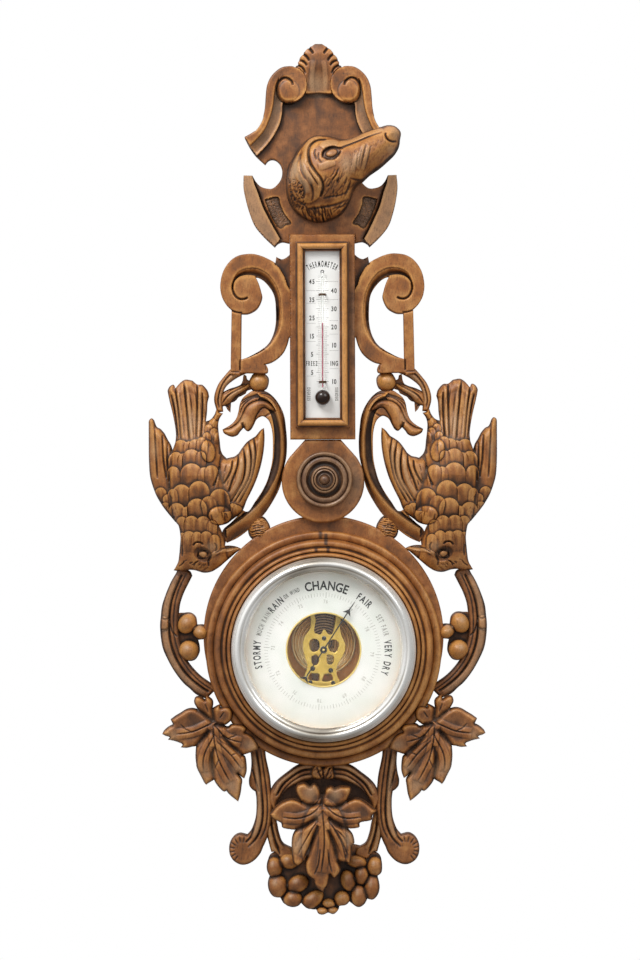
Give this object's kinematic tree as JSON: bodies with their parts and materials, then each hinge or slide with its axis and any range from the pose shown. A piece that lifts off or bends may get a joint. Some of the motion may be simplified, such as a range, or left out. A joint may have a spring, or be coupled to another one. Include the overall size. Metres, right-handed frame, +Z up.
{
  "type": "aneroid barometer",
  "caption": "Wall-hung aneroid barometer with a thermometer above it, in a carved walnut frame with scrolls, leaves, hanging birds and a hound's head.",
  "frame": {"origin": "a point on the back of the crest board, in the wall plane, 26 mm above the hole of the hanging plate and 433 mm above the dial's centre", "axes": "+Z up along the frame, -Y out of the wall towards the viewer, +X to the viewer's right"},
  "size_m": [0.279, 0.0558, 0.6966],
  "materials": {
    "walnut": "carved walnut, waxed, dark in the hollows and rubbed bright on the edges",
    "dark_walnut": "turned walnut, stained darker and polished",
    "brass": "lacquered brass",
    "nickel": "polished nickel plate",
    "dark_steel": "tempered steel, dark and oiled",
    "blued_steel": "blued steel",
    "capsule_alloy": "spun nickel silver, tarnished",
    "dial_card": "matt enamelled card",
    "opal_glass": "opal glass, etched and blacked",
    "clear_glass": "clear glass",
    "red_spirit": "red spirit in the bore",
    "bulb_glass": "glass bulb full of dark liquid"
  },
  "bodies": {
    "frame": {"crest_board": "walnut", "dog_head": "walnut", "thermometer_board": "walnut", "moulding_top": "walnut", "moulding_bottom": "walnut", "moulding_left": "walnut", "moulding_right": "walnut", "p_scroll_left": "walnut", "p_scroll_right": "walnut", "c_scroll_left": "walnut", "c_scroll_right": "walnut", "twig_left": "walnut", "twig_right": "walnut", "bird_left": "walnut", "bird_right": "walnut", "vine_left": "walnut", "vine_right": "walnut", "vine_leaf_left": "walnut", "vine_leaf_right": "walnut", "base_scroll": "walnut", "base_leaf": "walnut", "grapes": "walnut", "roundel": "walnut", "boss": "dark_walnut", "ring_board": "walnut", "case_ring": "walnut", "hanger_plate": "brass", "thermometer_plate": "opal_glass", "thermometer_tube": "clear_glass", "spirit_column": "red_spirit", "thermometer_bulb": "bulb_glass", "tube_clip_top": "brass", "tube_clip_bottom": "brass", "drum_case": "brass", "bezel": "nickel", "bezel_glass": "clear_glass", "glass_retainer": "brass", "dial": "dial_card", "dial_trim_ring": "brass", "base_plate": "brass", "capsule": "capsule_alloy", "main_spring": "dark_steel", "skeleton_bridge": "brass", "rocker_bracket": "brass", "hairspring": "blued_steel"},
    "pointer": {"hand": "blued_steel", "hand_arbor": "brass"},
    "lever": {"main_arm": "dark_steel"},
    "rocker": {"rocker_arbor": "dark_steel"},
    "chain_run": {"chain": "dark_steel"},
    "regulator": {"regulating_screw": "dark_steel"}
  },
  "joints": [
    {"name": "hand_turn", "type": "hinge", "parent": "frame", "child": "pointer", "pos_m": [0, -0.039, -0.433], "axis": [0, 1, 0], "range_deg": [-273, 57], "stiffness_Nm_per_rad": 0.002},
    {"name": "lever_rock", "type": "hinge", "parent": "frame", "child": "lever", "pos_m": [-0.007, -0.0252, -0.4295], "axis": [1, 0, 0], "range_deg": [-0.8, 3.5]},
    {"name": "rocker_turn", "type": "hinge", "parent": "frame", "child": "rocker", "pos_m": [0, -0.013, -0.462], "axis": [1, 0, 0], "range_deg": [-8, 37]},
    {"name": "chain_pull", "type": "slide", "parent": "frame", "child": "chain_run", "axis": [0, 0, 1], "range_m": [-0.0078, 0.0018]},
    {"name": "regulator_turn", "type": "hinge", "parent": "frame", "child": "regulator", "pos_m": [0, -0.003, -0.395], "axis": [0, 1, 0], "range_deg": [-180, 180]}
  ],
  "couplings": [
    {"joint": "lever_rock", "follows": "hand_turn", "ratio": -0.0121},
    {"joint": "rocker_turn", "follows": "hand_turn", "ratio": -0.1333},
    {"joint": "chain_pull", "follows": "hand_turn", "m_per_rad": 0.0016}
  ]
}
